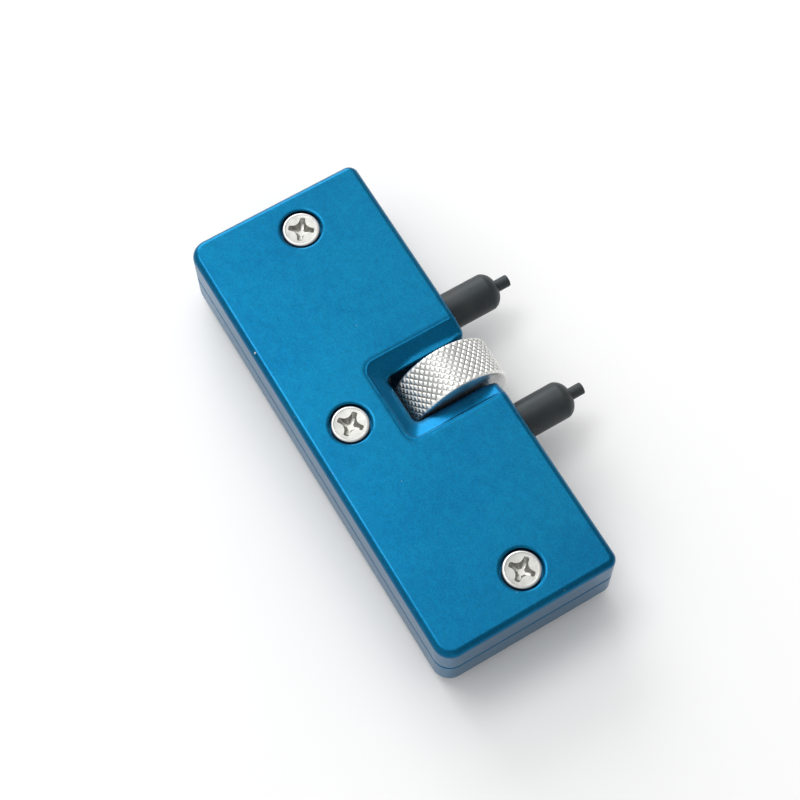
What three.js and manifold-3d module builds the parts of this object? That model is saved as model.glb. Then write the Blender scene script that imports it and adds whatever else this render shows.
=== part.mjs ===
// A pocket case back opener for watches: two cast half shells, a left-and-right-handed lead screw
// turned by a knurled thumbwheel, and two jaws whose stepped pins grip the notches of a case back.
//
// Millimetres, +Z up. X runs along the case, +Y points out past the jaw edge. The parts are placed
// around the middle of the case, and the whole tool is then moved so that its origin lies below the
// middle of its overall box, on the plane under the thumbwheel.

import * as THREE from "three";
import Module from "manifold-3d";
import { mergeVertices } from "three/addons/utils/BufferGeometryUtils.js";

const wasm = await Module();
wasm.setup();

// ---- Driving dimensions ----

// Clearances
const fitGap = 0.3; // between pieces that rest on each other
const runningGap = 0.2; // around a journal, on the radius
const partingGap = 0.3; // between the two half shells
const cutOvershoot = 1; // how far a cutting tool runs past the face that it opens

// Case
const caseLength = 70;
const caseDepth = 27.1; // rear edge to jaw edge
const jawCorner = 1.5; // radius of the upright corners at the jaw edge
const rearCorner = 2.6; // radius of the upright corners at the rear edge
const caseEdge = 1; // radius of the edges around the top and bottom faces
const plateWall = 1.9; // top and bottom plates over the jaw channel
const jawWall = 1.2; // wall along the jaw edge
const endWall = 3; // walls at the short ends
const rearWall = 2; // wall along the rear edge
const channelWall = 2; // wall behind the jaw channel

// Window for the thumbwheel
const wheelSideGap = 0.7; // each side of the wheel
const wheelRearGap = 0.4; // behind the wheel
const windowCorner = 0.9; // corner radius at the back of the window
const mouthCorner = 0.9; // corner radius where the window opens through the jaw edge
const windowRib = 1.35; // wall between the window and the jaw channel
const bevelSide = 3; // width of the sloping border beside the window
const bevelRear = 2.6; // width of the sloping border behind the window
const bevelDrop = 1.5; // depth of the sloping border at its inner lip

// Thumbwheel
const wheelRadius = 7.4;
const wheelWidth = 6.5;
const wheelEdge = 0.5; // chamfer beside the knurled band
const wheelShift = 0.35; // the wheel stands this far towards +X in its window

// Lead screw
const threadRadius = 1.75;
const journalRadius = 1.25;
const screwHubRadius = 2.25; // plain middle under the wheel
const screwEdge = 0.25; // chamfer on the ends

// Bearings
const bearingLength = 3;
const washerThickness = 0.5;
const washerRadius = 2.6;

// Jaws
const carrierCheek = 0.7; // metal beside the pin's bore
const carrierRoof = 0.5; // metal above and below the pin's bore
const carrierDepth = 6.9; // across the channel
const carrierEdge = 0.4; // chamfer on the upright corners
const jawOpening = 0.4; // how far each jaw is modelled from its closed place
const threadGap = 0.3; // around the thread, on the radius

// Pins
const pinRadius = 2.75;
const pinReach = 7.6; // full-width body past the jaw edge
const pinEdge = 0.35; // rounding at the front of the body
const shoulderLength = 1.1; // cone between body and tip
const shoulderRadius = 1.05; // where the cone ends
const tipRadius = 0.88;
const tipLength = 2.05;
const tipEdge = 0.15;
const slotGap = 0.35; // around the pin in the slot, on the radius

// Case screws
const headRadius = 2.66;
const headHeight = 1.7;
const headEdge = 0.3; // chamfer around the head
const headSink = 0.1; // the head lies this far below the top face
const shankRadius = 1.5;
const shankLength = 8;
const counterboreGap = 0.3; // around the head, on the radius
const counterboreRim = 0.3; // broken edge of the counterbore
const crossLength = 3.2; // cross recess, tip to tip
const crossWidth = 0.75;
const crossDepth = 1.1;
const crossFoot = 0.35; // radius at the bottom of the recess
const endScrewInset = 5.7; // from the short end of the case
const middleScrewLand = 2.04; // flat between the window's border and the counterbore
const screwTurns = { left: 53, middle: 40, right: 36 }; // how far each recess is turned, in degrees

// Threaded inserts
const insertRadius = 2.3;
const insertLength = 4;
const insertWall = 0.4; // between an insert's pocket and the jaw channel

// Dowels
const dowelRadius = 1.25;
const dowelLength = 6;
const dowelEndInset = 6.5; // from the short end of the case
const dowelRearInset = 5.05; // from the rear edge of the case

// Set screw of the wheel
const grubRadius = 1.25;
const grubLength = 3;
const socketRadius = 0.75; // across the corners of the hexagon
const socketDepth = 1.2;

// Rear pockets that lighten each shell
const pocketWidth = 5.2;
const pocketWall = 1.8; // between two pockets, and between the first and the window

// Number of flat steps around a turned shape
const fineSteps = 36;
const plainSteps = 20;

// ---- Sizes that follow ----

const halfLength = caseLength / 2;
const halfDepth = caseDepth / 2;
const carrierLength = 2 * (pinRadius + fitGap + carrierCheek);
const carrierHeight = 2 * (pinRadius + fitGap + carrierRoof);
const channelHeight = carrierHeight + 2 * fitGap;
const caseHeight = channelHeight + 2 * plateWall; // both shells together
const halfHeight = caseHeight / 2;
const channelDepth = carrierDepth + 2 * fitGap;
const channelFront = halfDepth - jawWall;
const channelRear = channelFront - channelDepth;
const axisY = channelFront - channelDepth / 2;
const windowHalf = wheelWidth / 2 + wheelSideGap;
const windowRear = axisY - wheelRadius - wheelRearGap;
const channelStart = windowHalf + windowRib;
const channelEnd = halfLength - endWall;
const bearingMiddle = channelEnd - fitGap - bearingLength / 2;
const washerMiddle = bearingMiddle - bearingLength / 2 - fitGap - washerThickness / 2;
const threadEnd = washerMiddle - washerThickness / 2 - fitGap;
const journalEnd = channelEnd - fitGap;
const threadHoleRadius = threadRadius + threadGap;
const closedJawOffset = channelStart + fitGap + carrierLength / 2; // from the middle to each pin
const openJawOffset = threadEnd - carrierLength / 2;
const jawOffset = closedJawOffset + jawOpening;
const pinFront = halfDepth - axisY + pinReach;
const tipEnd = pinFront + shoulderLength + tipLength;
const screwSeat = halfHeight - headSink;
const counterbore = headRadius + counterboreGap;
const endScrewX = halfLength - endScrewInset;
const endScrewY = channelRear - insertWall - fitGap - insertRadius;
const middleScrewY = windowRear - bevelRear - middleScrewLand - counterboreRim - counterbore;
const insertTop = -(partingGap + fitGap) / 2;
const dowelX = halfLength - dowelEndInset;
const dowelY = dowelRearInset - halfDepth;
const pocketPitch = pocketWidth + pocketWall;
const firstPocketX = windowHalf + pocketWall + pocketWidth / 2;
const lastPocketX = endScrewX - counterbore - counterboreRim - pocketWidth / 2;
const pocketCount = 1 + Math.floor((lastPocketX - firstPocketX) / pocketPitch);

// ---- Finishes ----

const finishes = {
  paint: { color: 0x1279b0, roughness: 0.35, metalness: 0.6 },
  nickel: { color: 0xc9c8c4, roughness: 0.3, metalness: 1 },
  knurledSteel: { color: 0xd4d3cf, roughness: 0.35, metalness: 1 },
  blackSteel: { color: 0x3c4144, roughness: 0.45, metalness: 0.8 },
  turnedSteel: { color: 0x9b9c9e, roughness: 0.35, metalness: 1 },
  brass: { color: 0xb9974f, roughness: 0.4, metalness: 1 },
};

// ---- Solids ----

// A closed geometry as a solid, with its faces turned outwards.
function solid(geometry) {
  const bare = geometry.clone();
  bare.deleteAttribute("normal");
  bare.deleteAttribute("uv");
  const merged = mergeVertices(bare, 1e-4);
  const triVerts = new Uint32Array(merged.index.array);
  const vertProperties = merged.attributes.position.array;
  const made = new wasm.Manifold(new wasm.Mesh({ numProp: 3, vertProperties, triVerts }));
  if (made.volume() > 0) {
    return made;
  }
  for (let i = 0; i < triVerts.length; i += 3) {
    [triVerts[i + 1], triVerts[i + 2]] = [triVerts[i + 2], triVerts[i + 1]];
  }
  return new wasm.Manifold(new wasm.Mesh({ numProp: 3, vertProperties, triVerts }));
}

// A solid's surface as a geometry.
function surface(body) {
  const mesh = body.getMesh();
  const geometry = new THREE.BufferGeometry();
  geometry.setAttribute("position", new THREE.BufferAttribute(mesh.vertProperties, 3));
  geometry.setIndex(new THREE.BufferAttribute(mesh.triVerts, 1));
  geometry.computeVertexNormals();
  return geometry;
}

function cut(body, tools) {
  return tools.reduce((rest, tool) => rest.subtract(solid(tool)), body);
}

// A cylinder with its axis along X, Y or Z.
function rod(axis, radius, length, steps = plainSteps) {
  const geometry = new THREE.CylinderGeometry(radius, radius, length, steps);
  return alongAxis(geometry, axis);
}

// Turns a shape made around +Y so that +Y lies along the named axis.
function alongAxis(geometry, axis) {
  if (axis === "X") {
    geometry.rotateZ(-Math.PI / 2);
  } else if (axis === "Z") {
    geometry.rotateX(Math.PI / 2);
  }
  return geometry;
}

// A turned piece around +Y, from the radius and height of each corner of its profile.
function turned(profile, steps = plainSteps) {
  const points = profile.map(([radius, height]) => new THREE.Vector2(radius, height));
  return new THREE.LatheGeometry(points, steps);
}

function box(width, depth, height) {
  return new THREE.BoxGeometry(width, depth, height);
}

// A rectangle with rounded corners, around the origin. Its two rear corners may have a radius of
// their own.
function roundedRectangle(width, depth, frontRadius, rearRadius = frontRadius) {
  const frontX = width / 2 - frontRadius;
  const frontY = depth / 2 - frontRadius;
  const rearX = width / 2 - rearRadius;
  const rearY = rearRadius - depth / 2;
  const shape = new THREE.Shape();
  shape.absarc(rearX, rearY, rearRadius, -Math.PI / 2, 0);
  shape.absarc(frontX, frontY, frontRadius, 0, Math.PI / 2);
  shape.absarc(-frontX, frontY, frontRadius, Math.PI / 2, Math.PI);
  shape.absarc(-rearX, rearY, rearRadius, Math.PI, 1.5 * Math.PI);
  return shape;
}

// ---- Case shells ----

// The outline of both shells together, rounded along its top and bottom edges.
function caseBlock() {
  const outline = roundedRectangle(caseLength, caseDepth, jawCorner, rearCorner);
  const geometry = new THREE.ExtrudeGeometry(outline, {
    depth: caseHeight - 2 * caseEdge,
    bevelThickness: caseEdge,
    bevelSize: caseEdge,
    bevelOffset: -caseEdge,
    bevelSegments: 4,
    curveSegments: 7,
  });
  return geometry.translate(0, 0, caseEdge - halfHeight);
}

// The plan of the wheel's window, from its back wall out past the jaw edge.
function windowShape() {
  const mouth = windowHalf + mouthCorner;
  const mouthY = halfDepth - mouthCorner;
  const front = halfDepth + cutOvershoot;
  const back = windowRear + windowCorner;
  const shape = new THREE.Shape();
  shape.moveTo(mouth, front);
  shape.lineTo(-mouth, front);
  shape.lineTo(-mouth, halfDepth);
  shape.absarc(-mouth, mouthY, mouthCorner, Math.PI / 2, 0, true);
  shape.absarc(windowCorner - windowHalf, back, windowCorner, Math.PI, 1.5 * Math.PI);
  shape.absarc(windowHalf - windowCorner, back, windowCorner, 1.5 * Math.PI, 2 * Math.PI);
  shape.absarc(mouth, mouthY, mouthCorner, Math.PI, Math.PI / 2, true);
  shape.lineTo(mouth, front);
  return shape;
}

function windowCut() {
  const geometry = new THREE.ExtrudeGeometry(windowShape(), {
    depth: caseHeight + 2 * cutOvershoot,
    bevelEnabled: false,
    curveSegments: 5,
  });
  return geometry.translate(0, 0, -halfHeight - cutOvershoot);
}

// The sloping border of the window: it widens from the inner lip up to the top face and beyond.
function bevelCut() {
  const length = halfDepth + cutOvershoot - windowRear;
  const height = bevelDrop + cutOvershoot;
  const shape = roundedRectangle(2 * windowHalf, 2 * length, windowCorner);
  const geometry = new THREE.ExtrudeGeometry(shape, {
    depth: height,
    bevelEnabled: false,
    curveSegments: 5,
  });
  const grow = height / bevelDrop;
  const corners = geometry.getAttribute("position");
  for (let i = 0; i < corners.count; i++) {
    if (corners.getZ(i) > height / 2) {
      corners.setX(i, corners.getX(i) * (1 + (bevelSide * grow) / windowHalf));
      corners.setY(i, corners.getY(i) * (1 + (bevelRear * grow) / length));
    }
  }
  return geometry.translate(0, halfDepth + cutOvershoot, halfHeight - bevelDrop);
}

// The channel in which one jaw carrier slides, on the side of the sign of X.
function channelCut(side) {
  const length = channelEnd - channelStart;
  const middle = (channelEnd + channelStart) / 2;
  return box(length, channelDepth, channelHeight).translate(side * middle, axisY, 0);
}

// The slot in the jaw edge through which one pin passes.
function slotCut(side) {
  const radius = pinRadius + slotGap;
  const travel = openJawOffset - closedJawOffset;
  const depth = jawWall + fitGap + cutOvershoot;
  const geometry = new THREE.ExtrudeGeometry(
    roundedRectangle(travel + 2 * radius, 2 * radius, radius - 0.01),
    { depth, bevelEnabled: false, curveSegments: 8 },
  );
  geometry.rotateX(Math.PI / 2);
  const middle = (openJawOffset + closedJawOffset) / 2;
  return geometry.translate(side * middle, halfDepth + cutOvershoot, 0);
}

function pocketCut(side, index) {
  const front = channelRear - channelWall;
  const rear = rearWall - halfDepth;
  const x = firstPocketX + index * pocketPitch;
  return box(pocketWidth, front - rear, channelHeight).translate(side * x, (front + rear) / 2, 0);
}

// What is cut from both shells: window, borders, channels, slots, pockets, bores and dowel holes.
function sharedCuts() {
  const bevel = bevelCut();
  const cuts = [windowCut(), bevel, bevel.clone().rotateY(Math.PI)];
  cuts.push(rod("X", threadHoleRadius, 2 * channelStart + cutOvershoot).translate(0, axisY, 0));
  for (const side of [-1, 1]) {
    cuts.push(channelCut(side));
    cuts.push(slotCut(side));
    const holeLength = dowelLength + 2 * fitGap;
    cuts.push(rod("Z", dowelRadius + fitGap, holeLength).translate(side * dowelX, dowelY, 0));
    for (let index = 0; index < pocketCount; index++) {
      cuts.push(pocketCut(side, index));
    }
  }
  return cuts;
}

const screwPlaces = {
  left: [-endScrewX, endScrewY],
  middle: [0, middleScrewY],
  right: [endScrewX, endScrewY],
};

// Clearance hole, counterbore and its broken rim for one case screw.
function screwHole([x, y]) {
  const seat = screwSeat - headHeight - fitGap;
  const hole = [
    [0, -cutOvershoot],
    [shankRadius + fitGap, -cutOvershoot],
    [shankRadius + fitGap, seat],
    [counterbore, seat],
    [counterbore, halfHeight - counterboreRim],
    [counterbore + counterboreRim, halfHeight],
    [counterbore + counterboreRim, halfHeight + cutOvershoot],
    [0, halfHeight + cutOvershoot],
  ];
  return turned(hole, fineSteps).rotateX(Math.PI / 2).translate(x, y, 0);
}

// The pocket that a threaded insert sits in.
function insertHole([x, y]) {
  const floor = insertTop - insertLength - fitGap;
  return rod("Z", insertRadius + fitGap, -floor * 2).translate(x, y, 0);
}

// One half shell: the upper one on side 1 and the lower one on side -1.
function makeShell(side, holes) {
  const other = box(caseLength * 2, caseDepth * 2, caseHeight);
  other.translate(0, 0, (side * (partingGap - caseHeight)) / 2);
  return surface(cut(solid(caseBlock()), [other, ...sharedCuts(), ...holes]));
}

// ---- Fasteners ----

// Two crossed blades inside a cone that narrows towards the bottom of the recess.
function crossRecess() {
  const height = crossDepth + cutOvershoot;
  const topRadius = crossLength / 2 + ((crossLength / 2 - crossFoot) * cutOvershoot) / crossDepth;
  const cone = new THREE.CylinderGeometry(topRadius, crossFoot, height, plainSteps);
  const blades = [box(2 * topRadius, crossWidth, height), box(crossWidth, 2 * topRadius, height)];
  const cross = solid(blades[0]).add(solid(blades[1]));
  const shaped = surface(cross.intersect(solid(alongAxis(cone, "Z"))));
  return shaped.translate(0, 0, height / 2 - crossDepth);
}

// A case screw with the top of its head at the origin.
function caseScrew() {
  const foot = -headHeight - shankLength;
  const profile = [
    [0, foot],
    [shankRadius - screwEdge, foot],
    [shankRadius, foot + screwEdge],
    [shankRadius, -headHeight],
    [headRadius, -headHeight],
    [headRadius, -headEdge],
    [headRadius - headEdge, 0],
    [0, 0],
  ];
  const body = turned(profile, fineSteps).rotateX(Math.PI / 2);
  return surface(cut(solid(body), [crossRecess()]));
}

// A knurled brass insert with a through hole for the shank, its top at the origin.
function screwInsert() {
  const bore = shankRadius + fitGap;
  const profile = [
    [bore, -insertLength],
    [insertRadius - screwEdge, -insertLength],
    [insertRadius, screwEdge - insertLength],
    [insertRadius, -screwEdge],
    [insertRadius - screwEdge, 0],
    [bore, 0],
    [bore, -insertLength],
  ];
  return surface(solid(turned(profile).rotateX(Math.PI / 2)));
}

function dowel() {
  const half = dowelLength / 2;
  const profile = [
    [0, -half],
    [dowelRadius - screwEdge, -half],
    [dowelRadius, screwEdge - half],
    [dowelRadius, half - screwEdge],
    [dowelRadius - screwEdge, half],
    [0, half],
  ];
  return surface(solid(turned(profile).rotateX(Math.PI / 2)));
}

// ---- Drive ----

// One half of the lead screw's profile, from its hub's shoulder out to the end of its journal.
function screwProfile(hubEnd) {
  return [
    [screwHubRadius, hubEnd],
    [threadRadius, hubEnd],
    [threadRadius, threadEnd],
    [journalRadius, threadEnd],
    [journalRadius, journalEnd - screwEdge],
    [journalRadius - screwEdge, journalEnd],
    [0, journalEnd],
  ];
}

function leadScrew() {
  const right = screwProfile(wheelWidth / 2 + wheelShift);
  const left = screwProfile(wheelWidth / 2 - wheelShift);
  const mirrored = left.map(([radius, height]) => [radius, -height]).reverse();
  return surface(solid(alongAxis(turned([...mirrored, ...right]), "X")));
}

function thumbwheel() {
  const half = wheelWidth / 2;
  const bore = screwHubRadius + fitGap;
  const profile = [
    [bore, -half],
    [wheelRadius - wheelEdge, -half],
    [wheelRadius, wheelEdge - half],
    [wheelRadius, half - wheelEdge],
    [wheelRadius - wheelEdge, half],
    [bore, half],
    [bore, -half],
  ];
  const disc = solid(alongAxis(turned(profile, fineSteps), "X"));
  const hole = rod("Z", grubRadius + fitGap, wheelRadius).translate(0, 0, -wheelRadius * 0.75);
  return surface(cut(disc, [hole]));
}

// A set screw whose point faces +Z towards the lead screw, its hexagon socket facing -Z.
function wheelSetScrew() {
  const inner = screwHubRadius + fitGap;
  const profile = [
    [0, -inner - grubLength],
    [grubRadius, -inner - grubLength],
    [grubRadius, -inner - screwEdge * 2],
    [grubRadius - screwEdge * 2, -inner],
    [0, -inner],
  ];
  const socket = new THREE.CylinderGeometry(socketRadius, socketRadius, socketDepth * 2, 6);
  alongAxis(socket, "Z").translate(0, 0, -inner - grubLength);
  return surface(cut(solid(turned(profile).rotateX(Math.PI / 2)), [socket]));
}

// A block that fills the end of the jaw channel and carries one journal.
function endBearing() {
  const block = box(bearingLength, carrierDepth, carrierHeight);
  const bore = rod("X", journalRadius + runningGap, bearingLength + cutOvershoot);
  return surface(cut(solid(block), [bore]));
}

function thrustWasher() {
  const half = washerThickness / 2;
  const bore = journalRadius + runningGap;
  const profile = [
    [bore, -half],
    [washerRadius, -half],
    [washerRadius, half],
    [bore, half],
    [bore, -half],
  ];
  return surface(solid(alongAxis(turned(profile), "X")));
}

// ---- Jaws ----

// A threaded block with a cross bore for its pin.
function jawCarrier() {
  const plan = roundedRectangle(carrierLength, carrierDepth, carrierEdge);
  const block = new THREE.ExtrudeGeometry(plan, {
    depth: carrierHeight,
    bevelEnabled: false,
    curveSegments: 2,
  });
  block.translate(0, 0, -carrierHeight / 2);
  const threadHole = rod("X", threadHoleRadius, carrierLength + cutOvershoot);
  const pinHole = rod("Y", pinRadius + fitGap, carrierDepth + cutOvershoot, fineSteps);
  return surface(cut(solid(block), [threadHole, pinHole]));
}

// A stepped pin along +Y, tapped across for the lead screw that passes through the origin.
function jawPin() {
  const rear = -carrierDepth / 2;
  const profile = [
    [0, rear],
    [pinRadius - pinEdge, rear],
    [pinRadius, rear + pinEdge],
    [pinRadius, pinFront - pinEdge],
    [pinRadius - pinEdge / 3, pinFront - pinEdge / 3],
    [pinRadius - pinEdge, pinFront],
    [shoulderRadius, pinFront + shoulderLength],
    [tipRadius, pinFront + shoulderLength],
    [tipRadius, tipEnd - tipEdge],
    [tipRadius - tipEdge, tipEnd],
    [0, tipEnd],
  ];
  const threadHole = rod("X", threadHoleRadius, 2 * pinRadius + cutOvershoot);
  return surface(cut(solid(turned(profile, fineSteps)), [threadHole]));
}

// ---- Assembly ----

function addPart(group, name, geometry, finish, place = [0, 0, 0]) {
  const material = new THREE.MeshStandardMaterial(finishes[finish]);
  const mesh = new THREE.Mesh(geometry, material);
  mesh.name = name;
  mesh.position.set(...place);
  group.add(mesh);
  return mesh;
}

function makeCase() {
  const group = new THREE.Group();
  const places = Object.values(screwPlaces);
  addPart(group, "upper_shell", makeShell(1, places.map(screwHole)), "paint");
  addPart(group, "lower_shell", makeShell(-1, places.map(insertHole)), "paint");
  for (const [name, [x, y]] of Object.entries(screwPlaces)) {
    const screw = addPart(group, `case_screw_${name}`, caseScrew(), "nickel", [x, y, screwSeat]);
    screw.rotation.z = THREE.MathUtils.degToRad(screwTurns[name]);
    addPart(group, `screw_insert_${name}`, screwInsert(), "brass", [x, y, insertTop]);
  }
  for (const [name, side] of [["left", -1], ["right", 1]]) {
    addPart(group, `dowel_${name}`, dowel(), "turnedSteel", [side * dowelX, dowelY, 0]);
  }
  return group;
}

function makeDrive() {
  const group = new THREE.Group();
  group.position.y = axisY;
  addPart(group, "lead_screw", leadScrew(), "turnedSteel");
  addPart(group, "thumbwheel", thumbwheel(), "knurledSteel", [wheelShift, 0, 0]);
  addPart(group, "wheel_set_screw", wheelSetScrew(), "blackSteel", [wheelShift, 0, 0]);
  for (const [name, side] of [["left", -1], ["right", 1]]) {
    addPart(group, `end_bearing_${name}`, endBearing(), "brass", [side * bearingMiddle, 0, 0]);
    addPart(group, `thrust_washer_${name}`, thrustWasher(), "turnedSteel", [side * washerMiddle, 0, 0]);
  }
  return group;
}

function makeJaw(name, side) {
  const group = new THREE.Group();
  group.position.set(side * jawOffset, axisY, 0);
  addPart(group, `jaw_carrier_${name}`, jawCarrier(), "brass");
  addPart(group, `jaw_pin_${name}`, jawPin(), "blackSteel");
  return group;
}

const tool = new THREE.Group();
tool.add(makeCase(), makeDrive(), makeJaw("left", -1), makeJaw("right", 1));
const front = axisY + Math.max(tipEnd, wheelRadius);
const lowest = Math.max(wheelRadius, halfHeight);
tool.position.set(0, (halfDepth - front) / 2, lowest);

export default tool;
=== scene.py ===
"""Looks for a pocket case back opener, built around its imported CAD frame."""

import math

import bmesh
import bpy
import numpy as np
from bpy.props import FloatProperty, FloatVectorProperty, IntProperty, PointerProperty
from mathutils import Matrix, Vector
from mathutils.geometry import delaunay_2d_cdt


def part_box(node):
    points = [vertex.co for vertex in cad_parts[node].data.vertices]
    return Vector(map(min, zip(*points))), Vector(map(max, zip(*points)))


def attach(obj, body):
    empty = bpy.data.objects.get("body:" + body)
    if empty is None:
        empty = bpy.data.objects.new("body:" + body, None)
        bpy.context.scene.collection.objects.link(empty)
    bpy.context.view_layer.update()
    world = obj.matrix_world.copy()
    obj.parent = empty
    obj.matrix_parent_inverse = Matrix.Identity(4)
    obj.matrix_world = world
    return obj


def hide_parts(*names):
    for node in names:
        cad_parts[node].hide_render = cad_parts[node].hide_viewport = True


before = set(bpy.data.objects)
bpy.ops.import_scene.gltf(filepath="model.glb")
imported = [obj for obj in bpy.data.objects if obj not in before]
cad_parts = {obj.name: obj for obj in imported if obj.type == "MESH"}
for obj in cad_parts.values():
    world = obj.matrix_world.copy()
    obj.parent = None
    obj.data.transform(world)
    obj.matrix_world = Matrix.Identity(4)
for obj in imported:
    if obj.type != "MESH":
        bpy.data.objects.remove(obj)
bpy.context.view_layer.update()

bl_info = {
    "name": "Case Back Opener",
    "version": (1, 0, 0),
    "blender": (4, 5, 0),
    "location": "3D Viewport > Sidebar > Opener",
    "description": "Builds the visible pieces of a pocket case back opener around its frame",
    "category": "Object",
}

MM = 0.001  # pieces are modelled in millimetres and brought to metres when they are done


# ---- Places taken from the frame, in millimetres ----


def corners(node):
    """Lowest and highest corner of a CAD node."""
    lo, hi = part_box(node)
    return np.array(lo) / MM, np.array(hi) / MM


def centre(node):
    lo, hi = corners(node)
    return (lo + hi) / 2


CASE_LO = corners("lower_shell")[0]
CASE_HI = corners("upper_shell")[1]
CASE_MIDDLE = (CASE_LO + CASE_HI) / 2
CASE_HALF = (CASE_HI - CASE_LO) / 2
PARTING_HALF = corners("upper_shell")[0][2] - CASE_MIDDLE[2]
SCREW_AXIS = centre("lead_screw")
WHEEL_LO, WHEEL_HI = corners("thumbwheel")
WHEEL_RADIUS = (WHEEL_HI[2] - WHEEL_LO[2]) / 2
CASE_SCREWS = ("case_screw_left", "case_screw_middle", "case_screw_right")


# ---- Sizes and colours that a user would change ----


def length(name, millimetres, description):
    return FloatProperty(
        name=name, description=description, default=millimetres * MM,
        min=0, precision=5, subtype="DISTANCE", unit="LENGTH",
    )


def colour(name, rgb, description):
    return FloatVectorProperty(
        name=name, description=description, default=rgb, size=3, min=0, max=1, subtype="COLOR"
    )


def place(name, metres, description):
    return FloatVectorProperty(
        name=name, description=description, default=metres, size=3,
        subtype="XYZ", unit="LENGTH", precision=4,
    )


def plain(name, value, description):
    return FloatProperty(name=name, description=description, default=value, min=0)


def count(name, value, description):
    return IntProperty(name=name, description=description, default=value, min=3)


class CaseSettings(bpy.types.PropertyGroup):
    jaw_corner: length("Jaw corner", 1.5, "Radius of the upright corners at the jaw edge")
    rear_corner: length("Rear corner", 2.6, "Radius of the upright corners at the rear edge")
    edge: length("Edge", 1, "Rounding of the edges around the top and bottom faces")
    lip_edge: length("Lip edge", 0.22, "Rounding of the inner lip of the window")
    parting_edge: length("Parting edge", 0.2, "Rounding of each shell where the two meet")
    window_half: length("Window half width", 3.95, "Half of the window's width")
    window_back: length("Window back", 12.75, "From the jaw edge to the back of the window")
    window_corner: length("Window corner", 0.9, "Inner corners at the back of the window")
    border_corner: length("Border corner", 1.9, "Outer corners of the window's border")
    mouth_corner: length("Mouth corner", 0.9, "Corners where the window meets the jaw edge")
    border_side: length("Border side", 3, "Width of the border beside the window")
    border_back: length("Border back", 2.6, "Width of the border behind the window")
    border_drop: length("Border drop", 1.5, "Depth of the border at the inner lip")
    border_kink: length("Border kink", 0.65, "From the inner lip to where the border steepens")
    border_shelf: length("Border shelf", 1, "Depth of the border where it steepens")
    bead_height: length("Bead height", 0.09, "Height of the soft bead on the border's outer line")
    screw_bore: length("Screw bore", 2.96, "Radius of the counterbore around a screw head")
    screw_rim: length("Screw rim", 0.45, "Width of the soft edge around the counterbore")
    screw_rim_depth: length("Screw rim depth", 0.2, "Depth of the counterbore's soft edge")
    paint: colour("Paint", (0.002, 0.128, 0.25), "Blue metallic paint")
    deep_paint: colour("Deep paint", (0.001, 0.103, 0.222), "The darker patches of its mottle")
    thick_paint: colour("Thick paint", (0.0008, 0.13, 0.31), "Where it gathers in the border")
    bare: colour("Bare metal", (0.62, 0.64, 0.66), "Where an edge has lost its paint")


class WheelSettings(bpy.types.PropertyGroup):
    bevel: length("Bevel", 0.5, "Bevel beside the knurled band")
    knurl_depth: length("Knurl depth", 0.22, "Depth of the knurl's grooves")
    teeth: count("Teeth", 45, "Diamonds around the wheel")
    rows: count("Rows", 6, "Diamonds across the wheel")
    metal: colour("Metal", (0.95, 0.95, 0.92), "Bright steel of the knurl")
    # Painted shade: the colour that the bottoms of the knurl's grooves are darkened towards
    groove_shade: colour("Groove shade", (0.2, 0.2, 0.19), "Bottom of the knurl's grooves")


class ScrewSettings(bpy.types.PropertyGroup):
    cross_length: length("Cross length", 3.7, "Cross recess, tip to tip")
    cross_width: length("Cross width", 0.74, "Width of one wing of the recess at its tip")
    cross_web: length("Cross web", 1.0, "From the middle of the recess to its lands")
    cross_depth: length("Cross depth", 1.3, "Depth of the recess in the middle")
    head_edge: length("Head edge", 0.32, "Rounding around the head")
    dish: length("Dish", 0.06, "How far the face of the head lies below its rim")
    pitch: length("Pitch", 0.5, "Pitch of the screw thread")
    metal: colour("Metal", (0.44, 0.44, 0.42), "Satin nickel")
    # The rim colour is a painted highlight along the rounded rim of each head
    rim: colour("Rim highlight", (0.7, 0.69, 0.67), "Where the rim of the head is rubbed bright")
    # The recess colour is a fixed tone painted into the cross recess, standing in for the light
    # and shade there
    recess_shading: colour("Recess shading", (0.5, 0.5, 0.47), "Bottom of the cross recess")


class SpindleSettings(bpy.types.PropertyGroup):
    pitch: length("Pitch", 0.6, "Travel of one jaw for one turn of the wheel")
    thread_depth: length("Thread depth", 0.34, "Depth of the lead screw's thread")
    metal: colour("Metal", (0.52, 0.52, 0.53), "Turned steel")


class PinSettings(bpy.types.PropertyGroup):
    dome: length("Dome", 1.6, "Length of the dome at the front of a pin's body")
    tip_edge: length("Tip edge", 0.14, "Bevel at the end of a pin's tip")
    metal: colour("Metal", (0.029, 0.036, 0.04), "Black oxide on steel")


class StageSettings(bpy.types.PropertyGroup):
    floor: colour("Floor", (0.9, 0.9, 0.9), "Plain pale floor")
    camera: place("Camera", (0.089, -0.0551, 0.25185), "Where the camera stands")
    target: place("Target", (0.00048, -0.00496, 0.01315), "The point in the middle of its view")
    roll: FloatProperty(
        name="Roll", description="Turn of the camera about its own axis",
        default=-0.0219, subtype="ANGLE",
    )
    lens: FloatProperty(
        name="Lens", description="Focal length", default=86.05, min=10, unit="CAMERA"
    )
    world: plain("World", 0.85, "Strength of the light from all around")
    key: plain("Key", 0.7, "Power of the key light")
    top: plain("Top", 0.65, "Power of the light overhead")
    side: plain("Side", 1.7, "Power of the light from the left end")


SETTINGS = {
    "opener_case": CaseSettings,
    "opener_wheel": WheelSettings,
    "opener_screws": ScrewSettings,
    "opener_spindle": SpindleSettings,
    "opener_pins": PinSettings,
    "opener_stage": StageSettings,
}


def sizes(settings):
    """The lengths of a settings group in millimetres, by name."""
    lengths = {}
    for key, kind in type(settings).__annotations__.items():
        if kind.keywords.get("subtype") == "DISTANCE":
            lengths[key] = getattr(settings, key) / MM
    return lengths


# ---- Meshes ----

TURNS = {"X": (2, 0, 1), "Y": (1, 2, 0), "Z": (0, 1, 2)}


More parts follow.
